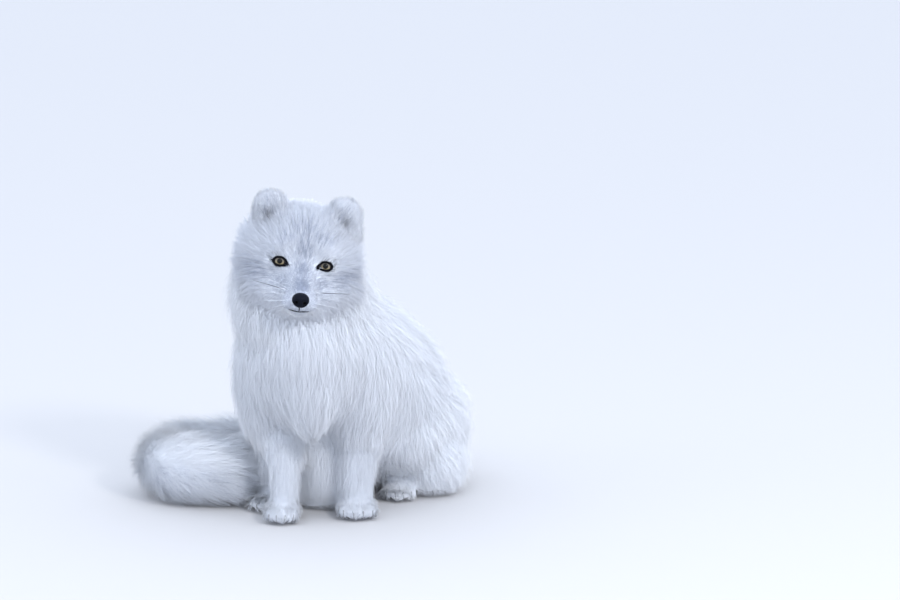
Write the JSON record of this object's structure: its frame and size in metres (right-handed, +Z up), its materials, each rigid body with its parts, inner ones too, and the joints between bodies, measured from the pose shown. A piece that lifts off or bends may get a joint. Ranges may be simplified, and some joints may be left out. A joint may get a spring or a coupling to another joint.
{
  "type": "arctic fox",
  "caption": "Life-size still model of a sitting arctic fox in its white winter coat, face to the front, hindquarters turned aside and bushy tail curled forward on the floor.",
  "frame": {"origin": "middle of the model's bounding box in plan, at floor level", "axes": "+Z up, the face looks along -Y, the fox's left side is towards +X"},
  "size_m": [0.4104, 0.3954, 0.4016],
  "materials": {
    "coat": "long dense white winter fur, matt",
    "paw": "short white fur on the feet, with dark grey claws",
    "eye": "olive amber iris with a round black pupil under a clear wet surface",
    "nose": "black, finely pebbled, slightly wet"
  },
  "bodies": {
    "root": {"ear_left": "coat", "ear_right": "coat", "eye_left": "eye", "eye_right": "eye", "foreleg_left": "coat", "foreleg_right": "coat", "forepaw_left": "paw", "forepaw_right": "paw", "haunch_left": "coat", "haunch_right": "coat", "head": "coat", "hind_foot_left": "paw", "hind_foot_right": "paw", "neck": "coat", "nose": "nose", "tail_middle": "coat", "tail_root": "coat", "tail_tip": "coat", "trunk": "coat"}
  },
  "joints": []
}
